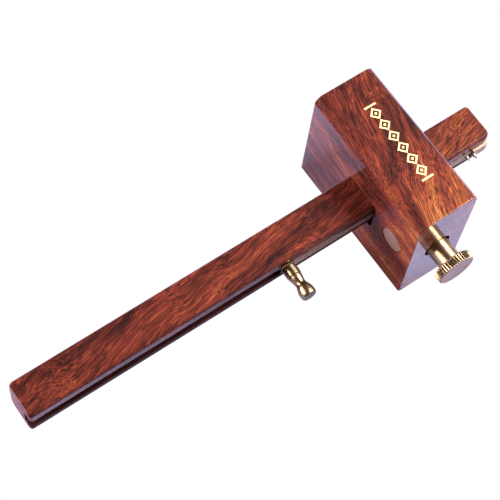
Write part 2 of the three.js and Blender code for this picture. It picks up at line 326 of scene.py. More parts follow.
def turn(name, profile, centre, axis=Y, steps=96):
    """A turned piece. The profile is (radius, place) or (radius, place, easing) along the axis."""
    points = soften(profile)
    radial = Z
    first = Vector(centre)
    first[axis], first[radial] = points[0][1], centre[radial] + points[0][0]
    select_nothing()
    bpy.ops.mesh.primitive_plane_add(size=MM, location=first)
    piece = settle(bpy.context.object, name)
    pick(piece, "verts", lambda vertex: True)
    bpy.ops.mesh.merge(type="CENTER")
    for (radius, place), (next_radius, next_place) in zip(points, points[1:]):
        step = step_along(axis, next_place - place) + step_along(radial, next_radius - radius)
        bpy.ops.mesh.extrude_vertices_move(TRANSFORM_OT_translate={"value": step})
    bpy.ops.mesh.select_all(action="SELECT")
    line = step_along(axis, 1)
    bpy.ops.mesh.spin(steps=steps, angle=FULL_TURN, center=centre, axis=line, use_auto_merge=True)
    tidy_shell(piece)
    return piece


def rod(name, radius, start, end, centre, axis=Y, steps=96):
    """A plain cylinder for cutting a bore, from start to end along the axis."""
    return turn(name, [(0, start), (radius, start), (radius, end), (0, end)], centre, axis, steps)


def soften(profile, segments=4):
    """Replaces each corner that has an easing by a small curve."""
    points = []
    for index, entry in enumerate(profile):
        corner = Vector(entry[:2])
        ease = entry[2] if len(entry) > 2 else 0
        if not ease:
            points.append(tuple(corner))
            continue
        before = Vector(profile[index - 1][:2]) - corner
        after = Vector(profile[index + 1][:2]) - corner
        start = corner + before.normalized() * min(ease, before.length / 2)
        end = corner + after.normalized() * min(ease, after.length / 2)
        for i in range(segments + 1):
            t = i / segments
            points.append(tuple(start * (1 - t) ** 2 + corner * (2 * t * (1 - t)) + end * t**2))
    return points


def swell(start, end, steps=10):
    """A smooth hollow or swell between two profile points, level at both. The start is left out."""
    return [
        (
            start[0] + (end[0] - start[0]) * (1 - math.cos(math.pi * i / steps)) / 2,
            start[1] + (end[1] - start[1]) * i / steps,
        )
        for i in range(1, steps + 1)
    ]


def cut(piece, tool):
    """Cuts a tool's shape out of a piece, and uses the tool up."""
    activate(piece)
    bpy.ops.object.modifier_add(type="BOOLEAN")
    modifier = piece.modifiers[-1]
    modifier.operation = "DIFFERENCE"
    modifier.solver = "EXACT"
    modifier.object = tool
    bpy.ops.object.modifier_apply(modifier=modifier.name)
    bpy.data.objects.remove(tool)


def ease_edges(piece, width, segments=2, angle=35):
    """Takes the sharpness off every edge steeper than the angle."""
    activate(piece)
    bpy.ops.object.modifier_add(type="BEVEL")
    modifier = piece.modifiers[-1]
    modifier.width = width
    modifier.segments = segments
    modifier.limit_method = "ANGLE"
    modifier.angle_limit = math.radians(angle)
    modifier.use_clamp_overlap = True
    bpy.ops.object.modifier_apply(modifier=modifier.name)


def smooth(piece, angle=32):
    """Smooth shading that leaves flats flat and square edges square."""
    activate(piece)
    bpy.ops.object.shade_smooth_by_angle(angle=math.radians(angle))
    bpy.ops.object.modifier_add(type="WEIGHTED_NORMAL")
    modifier = piece.modifiers[-1]
    modifier.keep_sharp = True
    modifier.weight = 60
    bpy.ops.object.modifier_apply(modifier=modifier.name)


def fit(piece, node, body, material):
    """Gives a finished piece its finish, and lets it stand for its CAD node."""
    piece.data.materials.clear()
    piece.data.materials.append(material)
    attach(piece, body)
    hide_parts(node)


def body_of(node):
    return next(body for body, nodes in frame["record"]["behaviour"]["bodies"].items() if node in nodes)


def stand_in(piece, node, material):
    fit(piece, node, body_of(node), material)


# ---- Materials ----


class Wire:
    """A node's output, which adds Math nodes when it is used in an expression."""

    def __init__(self, graph, socket):
        self.graph = graph
        self.socket = socket

    def maths(self, operation, *values):
        return self.graph.node("ShaderNodeMath", {"operation": operation}, dict(enumerate(values)))

    def __add__(self, other):
        return self.maths("ADD", self, other)

    __radd__ = __add__

    def __sub__(self, other):
        return self.maths("SUBTRACT", self, other)

    def __rsub__(self, other):
        return self.maths("SUBTRACT", other, self)

    def __mul__(self, other):
        return self.maths("MULTIPLY", self, other)

    __rmul__ = __mul__

    def __truediv__(self, other):
        return self.maths("DIVIDE", self, other)

    def __lt__(self, other):
        return self.maths("LESS_THAN", self, other)

    def __gt__(self, other):
        return self.maths("GREATER_THAN", self, other)

    def larger(self, other):
        return self.maths("MAXIMUM", self, other)

    def absolute(self):
        return self.maths("ABSOLUTE", self)

    def sine(self):
        return self.maths("SINE", self)

    def root(self):
        return self.maths("SQRT", self)

    def between(self, low, high):
        """0 below low, 1 above high, and smooth from one to the other."""
        return self.graph.node(
            "ShaderNodeMapRange", {"interpolation_type": "SMOOTHSTEP"}, {0: self, 1: low, 2: high}
        )


class Graph:
    """The nodes of one material, or of the world."""

    def __init__(self, name=None, world=None):
        self.material = world or bpy.data.materials.new(name)
        self.material.use_nodes = True
        self.tree = self.material.node_tree
        self.tree.nodes.clear()

    def node(self, kind, settings=None, inputs=None, output=0):
        made = self.tree.nodes.new(kind)
        for name, value in (settings or {}).items():
            if name == "stops":
                self.set_stops(made.color_ramp, value)
            else:
                setattr(made, name, value)
        for key, value in (inputs or {}).items():
            if isinstance(value, Wire):
                self.tree.links.new(value.socket, made.inputs[key])
            else:
                made.inputs[key].default_value = value
        return Wire(self, made.outputs[output]) if made.outputs else None

    def set_stops(self, ramp, stops):
        while len(ramp.elements) < len(stops):
            ramp.elements.new(0.5)
        for element, (position, colour) in zip(ramp.elements, stops):
            element.position = position
            element.color = (*colour, 1)

    def place(self):
        return self.node("ShaderNodeTexCoord", output="Object")

    def mapped(self, vector, location=(0, 0, 0), rotation=(0, 0, 0), scale=(1, 1, 1)):
        inputs = {"Vector": vector, "Location": location, "Rotation": rotation, "Scale": scale}
        return self.node("ShaderNodeMapping", {"vector_type": "POINT"}, inputs)

    def split(self, vector):
        return [self.node("ShaderNodeSeparateXYZ", None, {0: vector}, i) for i in (X, Y, Z)]

    def joined(self, x, y, z):
        return self.node("ShaderNodeCombineXYZ", None, {0: x, 1: y, 2: z})

    def noise(self, vector, waves, detail=2.0, roughness=0.5, location=(0, 0, 0)):
        """Cloudy noise, with its own number of waves in a metre along each axis."""
        place = self.mapped(vector, location, scale=waves)
        inputs = {"Vector": place, "Scale": 1.0, "Detail": detail, "Roughness": roughness}
        return self.node("ShaderNodeTexNoise", {"noise_dimensions": "3D"}, inputs)

    def ramp(self, value, stops):
        return self.node("ShaderNodeValToRGB", {"stops": stops}, {0: value})

    def mix(self, factor, first, second):
        colours = [value if isinstance(value, Wire) else (*value, 1) for value in (first, second)]
        return self.node(
            "ShaderNodeMix", {"data_type": "RGBA"}, {0: factor, 6: colours[0], 7: colours[1]}, 2
        )

    def bump(self, height, strength, distance):
        inputs = {"Height": height, "Strength": strength, "Distance": distance}
        return self.node("ShaderNodeBump", None, inputs)

    def show_white(self, surface, white_kind, output_kind):
        """Ends the graph in a surface that gives its own light to all but the camera, which sees white."""
        seen = self.node("ShaderNodeLightPath")
        white = self.node(white_kind, None, {"Color": (1, 1, 1, 1), "Strength": 1.0})
        blend = self.node("ShaderNodeMixShader", None, {0: seen, 1: surface, 2: white})
        self.node(output_kind, None, {"Surface": blend})

    def shade(self, **inputs):
        names = {key.replace("_", " ").title().replace("Ior", "IOR"): v for key, v in inputs.items()}
        shader = self.node("ShaderNodeBsdfPrincipled", None, names)
        self.node("ShaderNodeOutputMaterial", None, {"Surface": shader})
        return self.material

    def metal(self, colour, roughness, normal):
        return self.shade(base_color=colour, metallic=1.0, roughness=roughness, normal=normal)


def tinted(colour, *tints):
    return tuple(channel * tint for channel, tint in zip(colour, tints))


# The wood's grain, from broad bands to hair-thin pores: waves in a metre along it and across it.
BAND_WAVES = (15, 95, 95)
STREAK_WAVES = (45, 480, 480)
FIBRE_WAVES = (90, 2300, 2300)
PORE_WAVES = (120, 3400, 3400)


def rosewood(name, turned, offset, figure, depth, reflection_shade, ornament=None, painted_shade=None):
    """Lacquered rosewood. The grain runs along X once the place is turned by the angle given.

    figure is the strength of the broad bands. depth is (axis, middle, slope): how dark the wood is, and
    how that changes along an axis. dulled gives how much of the lacquer is taken off, as painted shade
    that darkens the reflections there. An ornament is a mask of gilt stamping, and bare is a mask of
    painted shade: wood darkened towards the darkest grain, with no lacquer.
    """
    graph = Graph(name)
    colours = finish()
    place = graph.place()
    along = graph.mapped(place, location=offset, rotation=(0, 0, turned))
    # Interlocked grain: the fibres wander from side to side as they run.
    drift = graph.noise(along, (24, 42, 42), detail=1.5)
    wander = graph.noise(along, (80, 130, 130), detail=1)
    x, y, z = graph.split(along)
    shift = (drift - 0.5) * 0.018 + (wander - 0.5) * 0.0018
    grain = graph.joined(x, y + shift, z + shift * 0.7)

    band = graph.noise(grain, BAND_WAVES, detail=2, roughness=0.55)
    streak = graph.noise(grain, STREAK_WAVES, detail=3, roughness=0.65)
    fibre = graph.noise(grain, FIBRE_WAVES, detail=3, roughness=0.65)
    pore = graph.noise(grain, PORE_WAVES, detail=1, location=(3, 1, 2))

    axis, level, slope = depth
    dark = graph.split(place)[axis] * slope + level
    tone = (band - 0.5) * figure + (streak - 0.5) * 0.8 + (fibre - 0.5) * 0.9 + 0.5 - dark
    colour = graph.ramp(
        tone,
        [
            (0.20, colours.heart),
            (0.40, colours.body),
            (0.56, tinted(colours.body, 1.9, 1.9, 1.9)),
            (0.76, colours.flame),
            (0.95, colours.amber),
        ],
    )
    colour = graph.mix(pore.between(0.46, 0.64) * 0.85, colour, colours.heart)
    metallic = 0.0
    # Painted shade: the dulled mask takes lacquer off, so the reflections there go dark.
    coat = colours.lacquer * (1 - reflection_shade(graph, place))
    if ornament:
        mask = ornament(graph, place)
        flaked = graph.noise(place, (900, 900, 900)).between(0.66, 0.78)
        worn = mask * (1 - flaked)
        colour = graph.mix(worn, colour, colours.gilt)
        metallic = worn * 0.25
    # Painted shade in the groove and below it: the wood is darkened and has no lacquer.
    if painted_shade:
        mask = painted_shade(graph, place)
        colour = graph.mix(mask * 0.85, colour, colours.heart)
        coat = (1 - mask) * coat
    return graph.shade(
        base_color=colour,
        roughness=0.45 + fibre * 0.2,
        metallic=metallic,
        coat_weight=coat,
        coat_roughness=0.05,
        coat_ior=1.5,
        ior=1.45,
        specular_ior_level=0.08,
        normal=graph.bump(fibre * 0.4 - pore * 0.6, 0.1, 0.00005),
    )


def fence_reflection_shade(graph, place):
    """Painted shade: the lacquer is taken off the stock's front face below the beam, on the screw's side, and off
    its upper edge, so that the reflections there go dark.
    """
    x, y, z = graph.split(place)
    on_front = x < STOCK_LOW.x + 0.4 * MM
    below = on_front * (1 - (y + z * 0.25).between(-8 * MM, 4 * MM)) * 0.75
    on_edge = z.between(STOCK_HIGH.z - 4 * MM, STOCK_HIGH.z - 3 * MM) * (x < STOCK_LOW.x + 3.8 * MM)
    return below.larger(on_edge)


def side_reflection_shade(graph, place):
    """Painted shade: the lacquer is taken off the beam's grooved side under the groove and on its upper edge, less
    so between, and partly off its plain end, so that the reflections there go dark.
    """
    x, y, z = graph.split(place)
    on_side = y < BEAM_LOW.y + 2.4 * MM
    under_edge = 1 - z.between(BEAM_HIGH.z - 1.8 * MM, BEAM_HIGH.z - 1.1 * MM)
    side = on_side * (0.92 - z.between(AXIS_Z - 1 * MM, AXIS_Z + 1 * MM) * under_edge * 0.45)
    on_end = (x < BEAM_LOW.x + 0.6 * MM) * 0.6
    return side.larger(on_end)


def groove_walls(graph, place):
    """Painted shade: the inside of the beam's dovetail groove, and most of the side below it."""
    size = sizes()
    _, y, z = graph.split(place)
    depth = y - BEAM_LOW.y
    half = size.groove_floor / 2 + 0.1 * MM
    inside = ((z - AXIS_Z).absolute() < half) * (depth > 0.15 * MM) * (depth < size.groove_depth + 0.1 * MM)
    below = (z < AXIS_Z - size.groove_mouth / 2) * (depth < 3 * MM) * 0.8
    return inside.larger(below)


def lozenge_band(graph, place):
    """A gilt band on the stock's top: a chain of open lozenges with a dot in each, between two bars."""
    x, y, z = graph.split(place)
    centre_x, centre_y = 2.0 * MM, 1.3 * MM
    half_length, half_width, lozenges = 17.6 * MM, 2.7 * MM, 6
    pitch = 2 * half_length / lozenges
    across = (x - centre_x).absolute()
    run = y - (centre_y - half_length)
    in_run = (run > 0) * ((2 * half_length - run) > 0)
    step = run.maths("PINGPONG", run, pitch / 2)
    diamond = across / half_width + (pitch / 2 - step) / (pitch / 2)
    line = ((diamond - 0.80).absolute() < 0.17) * (diamond < 1.0)
    dot = diamond < 0.24
    beyond = (y - centre_y).absolute() - half_length
    bar = (beyond > 0.5 * MM) * (beyond < 1.3 * MM) * (across < half_width)
    on_top = z > STOCK_HIGH.z - 0.1 * MM
    return ((line + dot) * in_run).larger(bar) * on_top


def turned_brass(name, colour, centre, axis=Y, ring=2600.0, roughness=0.27, shade_and_dull_face=None):
    """Brass from the lathe: faint rings round the axis, and a thin uneven film of tarnish."""
    graph = Graph(name)
    place = graph.mapped(graph.place(), location=[-value for value in centre])
    parts = graph.split(place)
    along = parts[axis]
    first, second = [parts[i] for i in (X, Y, Z) if i != axis]
    radius = (first * first + second * second).root()
    jitter = graph.noise(place, (150, 150, 150), detail=1)
    rings = ((along + radius) * ring + jitter * 3).sine()
    tarnish = graph.noise(place, (130, 130, 130), detail=3, roughness=0.6)
    deep = tinted(colour, 0.62, 0.52, 0.42)
    shade = graph.mix(tarnish.between(0.42, 0.72) * 0.6, colour, deep)
    rough = roughness + tarnish * 0.08
    # The first mask paints shade, mixing towards near black; the second is a dull face of the brass itself.
    if shade_and_dull_face:
        black, dull = shade_and_dull_face(along, radius)
        shade = graph.mix(black, shade, (0.012, 0.008, 0.005))
        shade = graph.mix(dull * 0.8, shade, finish().face_brass)
        rough = rough + dull * 0.2
    return graph.metal(shade, rough, graph.bump(rings, 0.02, 0.00001))


def drawn_brass(name, colour, edge=0.0):
    """Brass strip, brushed along X. edge is how dark the painted shade along its long edges is."""
    graph = Graph(name)
    place = graph.place()
    brush = graph.noise(place, (90, 5200, 5200), detail=3, roughness=0.7)
    film = graph.noise(place, (70, 240, 240), detail=3, roughness=0.6)
    deep = tinted(colour, 0.60, 0.52, 0.46)
    shade = graph.mix(film.between(0.40, 0.70) * 0.6 + brush * 0.25, colour, deep)
    height = (graph.split(place)[Z] - AXIS_Z).absolute()
    face = sizes().groove_mouth / 2 - sizes().groove_gap
    # Painted shade: near black along the strip's long edges, beside the groove's lips.
    shade = graph.mix(height.between(face - 0.45 * MM, face - 0.2 * MM) * edge, shade, (0.05, 0.03, 0.02))
    return graph.metal(shade, 0.48 + brush * 0.1, graph.bump(brush, 0.03, 0.00001))


def ground_steel(name):
    """Steel ground round its own axis, which lies along Y."""
    graph = Graph(name)
    place = graph.place()
    grind = graph.noise(place, (1200, 9000, 1200), detail=2)
    bloom = graph.noise(place, (900, 900, 900), detail=3)
    dark = tinted(finish().steel, 0.55, 0.55, 0.55)
    shade = graph.mix(bloom.between(0.45, 0.75) * 0.6, finish().steel, dark)
    return graph.metal(shade, 0.2 + grind * 0.15, graph.bump(grind, 0.06, 0.00002))


# ---- Pieces ----


def dovetail(name, low_x, high_x, face_y, gap):
    """A bar with the groove's dovetail section, its face at face_y, smaller than the groove by a gap."""
    size = sizes()
    mouth = size.groove_mouth / 2 - gap
    floor = size.groove_floor / 2 - gap
    floor_y = BEAM_LOW.y + size.groove_depth - gap
    piece = block(name, (low_x, face_y, AXIS_Z - mouth), (high_x, floor_y, AXIS_Z + mouth))
    pick(piece, "faces", lambda face: True)
    bpy.ops.mesh.bisect(plane_co=(0, BEAM_LOW.y, 0), plane_no=(0, 1, 0))
    pick(piece, "verts", lambda vertex: near(vertex.co.y, floor_y))
    bpy.ops.transform.resize(value=(1, 1, floor / mouth), center_override=(0, 0, AXIS_Z))
    object_mode()
    return piece


def mitre_reach():
    """How far the mitre leans between the middle of a bar's height and its edge."""
    return MITRE_LEAN * (sizes().groove_floor / 2 - sizes().groove_gap)


def mitre(piece, x, keep_low):
    """Cuts a bar off on a lean, halfway up at x, and closes the cut."""
    pick(piece, "faces", lambda face: True)
    leaning = {"plane_co": (x, 0, AXIS_Z), "plane_no": (1, 0, -MITRE_LEAN)}
    bpy.ops.mesh.bisect(**leaning, use_fill=True, clear_outer=keep_low, clear_inner=not keep_low)
    tidy_shell(piece)


class GAUGE_OT_stock(bpy.types.Operator):
    """Model the stock, with its mortise and the bores for the screw"""

    bl_idname = "gauge.stock"
    bl_label = "Stock"

    def execute(self, context):
        size = sizes()
        low, high = STOCK_LOW, STOCK_HIGH
        piece = section("stock_block", Y, low, high)
        round_corners(piece, size.stock_top, 10, lambda vertex: near(vertex.co.z, high.z))
        round_corners(piece, size.stock_base, 5, lambda vertex: near(vertex.co.z, low.z))
        distances = arc_distances(size.stock_ends, 3)
        screw_end = [self.station(low.y + distance, distance) for distance in reversed(distances)]
        plain_end = [self.station(high.y - distance, distance) for distance in distances]
        stretch(piece, Y, screw_end + plain_end)
        for tool in self.cutters(size):
            cut(piece, tool)
        ease_edges(piece, size.crisp_edge * 2)
        smooth(piece)
        wood = rosewood(
            "stock_rosewood",
            turned=GRAIN_LEAN - math.pi / 2,
            offset=(0.031, 0.012, 0.004),
            figure=1.5,
            depth=(Y, -0.04, 2.0),
            reflection_shade=fence_reflection_shade,
            ornament=lozenge_band,
        )
        stand_in(piece, "stock", wood)
        return {"FINISHED"}

    def station(self, place, distance):
        """The section's edges at a distance from an end, drawn in all round."""
        low, high = STOCK_LOW, STOCK_HIGH
        draw = inset_at(distance, sizes().stock_ends)
        return place, {X: (low.x + draw, high.x - draw), Z: (low.z + draw, high.z - draw)}

    def cutters(self, size):
        """The mortise, and the bores that hold the nut, the shoe and the screw."""
        low, high = STOCK_LOW, STOCK_HIGH
        past = 2 * MM
        play = 0.6 * MM
        gap = size.mortise_gap
        opening_low = (low.x - past, BEAM_LOW.y - size.mortise_screw_gap, BEAM_LOW.z - gap)
        opening_high = (high.x + past, BEAM_HIGH.y + gap, BEAM_HIGH.z + gap)
        opening = section("mortise", X, opening_low, opening_high)
        round_corners(opening, size.beam_top + gap, 5, lambda vertex: True)
        stretch(opening, X, [(high.x + past, {})])
        yield opening

        nut_low, nut_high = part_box("barrel_nut")
        nut_radius = (nut_high.z - nut_low.z) / 2 + 0.1 * MM
        yield rod("nut_bore", nut_radius, low.x - past, nut_high.x, middle("barrel_nut"), X)

        shoe_low, shoe_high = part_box("pressure_shoe")
        screw, screw_tip = middle("thumbscrew"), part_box("thumbscrew")[1].y
        pocket = (shoe_high.x - shoe_low.x) / 2 + play
        pocket_end = shoe_low.y - slide_travel("shoe_slide") - play
        yield rod("shoe_pocket", pocket, pocket_end, shoe_high.y, screw)
        yield rod("shank_bore", SHANK_RADIUS + play, low.y - past, screw_tip, screw)
        yield rod("counterbore", BARREL_RADIUS + 1.15 * MM, low.y - past, BARREL_END + play, screw)


def slide_travel(joint):
    """The far end of a slide's travel."""
    return next(j["range_m"][1] for j in frame["joints"] if j["name"] == joint)


def ring_place(node, axis, radius, pick_end):
    """The place of the last ring of this radius on a turned CAD node, for sizes its box doesn't give."""
    centre = middle(node)
    others = [i for i in (X, Y, Z) if i != axis]
    places = [
        vertex.co[axis]
        for vertex in frame["nodes"][node].data.vertices
        if near(math.hypot(*(vertex.co[i] - centre[i] for i in others)), radius, 0.05 * MM)
    ]
    return pick_end(places)


SHANK_RADIUS = 3.0 * MM
STUD_RADIUS = 1.2 * MM
HEAD_CHAMFER = 0.55 * MM
BARREL_RADIUS = 4.85 * MM
BARREL_END = ring_place("thumbscrew", Y, BARREL_RADIUS - 0.4 * MM, max)


class GAUGE_OT_beam(bpy.types.Operator):
    """Model the beam, with its eased ends and dovetail groove"""

    bl_idname = "gauge.beam"
    bl_label = "Beam"

    def execute(self, context):
        size = sizes()
        low, high = BEAM_LOW, BEAM_HIGH
        piece = section("beam_bar", X, low, high)
        round_corners(piece, size.beam_top, 6, lambda vertex: near(vertex.co.z, high.z))
        round_corners(piece, size.beam_base, 8, lambda vertex: near(vertex.co.z, low.z))
        far, close = size.beam_corner, size.beam_small_corner
        left = [self.station(low.x + d, d, close, far) for d in reversed(self.distances())]
        right = [self.station(high.x - d, d, far, close) for d in self.distances()]
        stretch(piece, X, left + right)
        past = 2 * MM
        cut(piece, dovetail("groove", low.x - past, high.x + past, low.y - past, 0))
        ease_edges(piece, size.crisp_edge, angle=50)
        smooth(piece)
        wood = rosewood(
            "beam_rosewood",
            turned=-GRAIN_LEAN,
            offset=(0.0, 0.021, 0.017),
            figure=0.8,
            depth=(X, 0.0, -0.9),
            reflection_shade=side_reflection_shade,
            painted_shade=groove_walls,
        )
        stand_in(piece, "beam", wood)
        return {"FINISHED"}

    def distances(self):
        size = sizes()
        places = arc_distances(size.beam_corner, 5) + arc_distances(size.beam_ends, 2)[:-1]
        return sorted(set(places), reverse=True)

    def station(self, place, distance, screw_side, far_side):
        """The section's edges at a distance from an end, with the two upright corners drawn in."""
        low, high = BEAM_LOW, BEAM_HIGH
        flat = inset_at(distance, sizes().beam_ends)
        sides = (low.y + inset_at(distance, screw_side), high.y - inset_at(distance, far_side))
        return place, {Y: sides, Z: (low.z + flat, high.z - flat)}


class GAUGE_OT_thumbscrew(bpy.types.Operator):
    """Turn and knurl the thumbscrew, and turn the nut and the shoe it works with"""

    bl_idname = "gauge.thumbscrew"
    bl_label = "Thumbscrew, nut and shoe"

    def execute(self, context):
        size, colours = sizes(), finish()
        low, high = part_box("thumbscrew")
        centre = middle("thumbscrew")
        head_radius = (high.x - low.x) / 2
        head_back = ring_place("thumbscrew", Y, head_radius - 0.6 * MM, max)
        profile = self.profile(low.y, high.y, head_radius, head_back)
        piece = turn("thumbscrew_turned", profile, centre, steps=4 * size.knurls)
        self.knurl(piece, centre, head_radius)
        smooth(piece, 38)

        def shade_and_dull_face(along, from_axis):
            """Painted shade, black in the valleys of the knurls, and the dull dished face."""
            front, back = low.y + HEAD_CHAMFER - centre.y, head_back - HEAD_CHAMFER - centre.y
            in_valley = (from_axis < head_radius - 0.16 * MM) * (from_axis > BARREL_RADIUS + MM)
            return (along > front) * (along < back) * in_valley, along < front + 0.01 * MM

        brass = turned_brass("thumbscrew_brass", colours.brass, centre, shade_and_dull_face=shade_and_dull_face)
        stand_in(piece, "thumbscrew", brass)

        self.nut()
        self.shoe()
        return {"FINISHED"}

    def profile(self, front, tip, head_radius, head_back):
        """From the dished face of the head, down the barrel and the threaded shank, to the tip."""
        dish = head_radius - 1.6 * MM
        points = [
            (0, front + 0.5 * MM),
            (dish * 0.45, front + 0.46 * MM),
            (dish * 0.9, front + 0.3 * MM),
            (dish, front + 0.18 * MM, 0.15 * MM),
            (dish + 0.25 * MM, front, 0.12 * MM),
            (head_radius - HEAD_CHAMFER, front, 0.12 * MM),
            (head_radius, front + 0.5 * MM),
            (head_radius, head_back - 0.5 * MM),
            (head_radius - HEAD_CHAMFER, head_back, 0.12 * MM),
            (BARREL_RADIUS + 0.25 * MM, head_back),
            (BARREL_RADIUS, head_back + 0.25 * MM),
            (BARREL_RADIUS, BARREL_END, 0.3 * MM),
            (SHANK_RADIUS, BARREL_END, 0.2 * MM),
        ]
        pitch = sizes().thread_pitch
        root = SHANK_RADIUS - 0.5 * MM
        place = BARREL_END + 1.2 * pitch
        points.append((SHANK_RADIUS, place))
        while place + pitch < tip - 0.8 * MM:
            points += [
                (root, place + 0.45 * pitch),
                (root, place + 0.55 * pitch),
                (SHANK_RADIUS, place + 0.94 * pitch),
                (SHANK_RADIUS, place + pitch),
            ]
            place += pitch
        return [*points, (SHANK_RADIUS, tip - 0.6 * MM), (SHANK_RADIUS - 0.6 * MM, tip, 0.1 * MM), (0, tip)]

    def knurl(self, piece, centre, head_radius):
        """Presses every second pair of rim lines inwards."""
        slice_angle = FULL_TURN / (4 * sizes().knurls)

        def in_valley(vertex):
            offset = vertex.co - centre
            radius = math.hypot(offset.x, offset.z)
            number = round(math.atan2(offset.x, offset.z) / slice_angle)
            return near(radius, head_radius, 0.02 * MM) and number % 4 > 1

        pick(piece, "verts", in_valley)
        scale = (head_radius - sizes().knurl_depth) / head_radius
        bpy.ops.transform.resize(value=(scale, 1, scale), center_override=centre)
        object_mode()

    def nut(self):
        low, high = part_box("barrel_nut")
        centre = middle("barrel_nut")
        radius = (high.z - low.z) / 2
        piece = turn(
            "barrel_nut_turned",
            [
                (0, low.x + 0.25 * MM),
                (0.35 * MM, low.x + 0.1 * MM),
                (0.6 * MM, low.x, 0.1 * MM),
                (radius - 0.35 * MM, low.x, 0.05 * MM),
                (radius, low.x + 0.4 * MM, 0.1 * MM),
                (radius, high.x - 0.4 * MM, 0.1 * MM),
                (radius - 0.4 * MM, high.x, 0.1 * MM),
                (0, high.x),
            ],
            centre,
            X,
        )
        bore, past = SHANK_RADIUS + 0.3 * MM, radius + MM
        screw = middle("thumbscrew")
        cut(piece, rod("nut_thread", bore, centre.y - past, centre.y + past, screw, steps=48))
        smooth(piece)
        brass = turned_brass("nut_brass", finish().nut_brass, centre, X, ring=4200.0, roughness=0.34)
        stand_in(piece, "barrel_nut", brass)

    def shoe(self):
        low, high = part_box("pressure_shoe")
        radius = (high.x - low.x) / 2
        centre = middle("pressure_shoe")
        piece = turn(
            "pressure_shoe_turned",
            [
                (0, low.y + 0.35 * MM),
                (SHANK_RADIUS * 0.7, low.y + 0.35 * MM, 0.1 * MM),
                (SHANK_RADIUS * 0.8, low.y, 0.08 * MM),
                (radius - 0.4 * MM, low.y, 0.08 * MM),
                (radius, low.y + 0.4 * MM, 0.1 * MM),
                (radius, high.y - 0.4 * MM, 0.1 * MM),
                (radius - 0.4 * MM, high.y, 0.08 * MM),
                (0, high.y),
            ],
            centre,
        )
        smooth(piece)
        brass = turned_brass("shoe_brass", finish().dull_brass, centre, ring=3600.0, roughness=0.28)
        stand_in(piece, "pressure_shoe", brass)


class GAUGE_OT_slide(bpy.types.Operator):
    """Model the brass slide bar and turn its knob"""

    bl_idname = "gauge.slide"
    bl_label = "Slide bar and knob"

    def execute(self, context):
        size = sizes()
        low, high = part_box("slide_bar")
        lean = mitre_reach()
        bar = dovetail("slide_bar_drawn", low.x, high.x + 2 * lean, low.y, size.groove_gap)
        mitre(bar, high.x - lean, keep_low=True)
        knob_low, knob_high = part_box("slide_knob")
        knob = middle("slide_knob")
        stud = STUD_RADIUS + 0.1 * MM
        cut(bar, rod("stud_hole", stud, low.y - MM, knob_high.y, knob, steps=32))
        cut(bar, pin_hole("sliding_pin", low.y))
        ease_edges(bar, size.crisp_edge / 2)
        smooth(bar)
        stand_in(bar, "slide_bar", drawn_brass("slide_brass", finish().dull_brass, 0.85))

        piece = turn("slide_knob_turned", self.knob_profile(knob_low, knob_high, low.y), knob, steps=72)
        smooth(piece, 40)

        def shade_and_dull_face(along, radius):
            """A little black all over for a darker tone, and much painted shade on the flat end, with no dull
            face.
            """
            tip = along < knob_low.y - knob.y + 0.2 * MM
            return tip * 0.6 + 0.15, 0.0

        stand_in(piece, "slide_knob", turned_brass("knob_brass", finish().brass, knob, shade_and_dull_face=shade_and_dull_face))
        return {"FINISHED"}

    def knob_profile(self, low, high, face):
        """From the flat tip, over the bulb, neck, bead and base, to the stud in the bar."""
        bulb = (high.x - low.x) / 2
        base, bead = 3.05 * MM, 2.8 * MM
        seat = face - 0.1 * MM
        base_end = seat - 4.2 * MM
        bead_end = base_end - 1.0 * MM
        neck = (2.2 * MM, bead_end - 3.0 * MM)
        tip = low.y
        bulb_start = tip + 3.7 * MM
        return [
            (0, tip),
            (bulb * 0.76, tip + 0.05 * MM, 0.1 * MM),
            (bulb * 0.90, tip + 0.3 * MM, 0.2 * MM),
            (bulb * 0.98, tip + 0.9 * MM, 0.3 * MM),
            (bulb, tip + 1.9 * MM, 0.5 * MM),
            (bulb * 0.95, bulb_start, 0.08 * MM),
            (bulb * 0.89, bulb_start + 0.1 * MM, 0.05 * MM),
            *swell((bulb * 0.89, bulb_start + 0.1 * MM), neck),
            *swell(neck, (bead - 0.15 * MM, bead_end)),
            (bead, bead_end + 0.15 * MM, 0.05 * MM),
            (bead, base_end - 0.4 * MM, 0.1 * MM),
            (bead - 0.35 * MM, base_end - 0.2 * MM, 0.05 * MM),
            (base, base_end, 0.12 * MM),
            (base, seat - 0.3 * MM, 0.2 * MM),
            (base - 0.25 * MM, seat, 0.05 * MM),
            (STUD_RADIUS, seat),
            (STUD_RADIUS, high.y),
            (0, high.y),
        ]


def pin_hole(node, face):
    """A cutter for the hole that a pin is pressed into, from a face towards +Y."""
    low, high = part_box(node)
    radius = (high.x - low.x) / 2 + 0.1 * MM
    return rod(node + "_hole", radius, face - MM, high.y + 0.1 * MM, middle(node), steps=24)


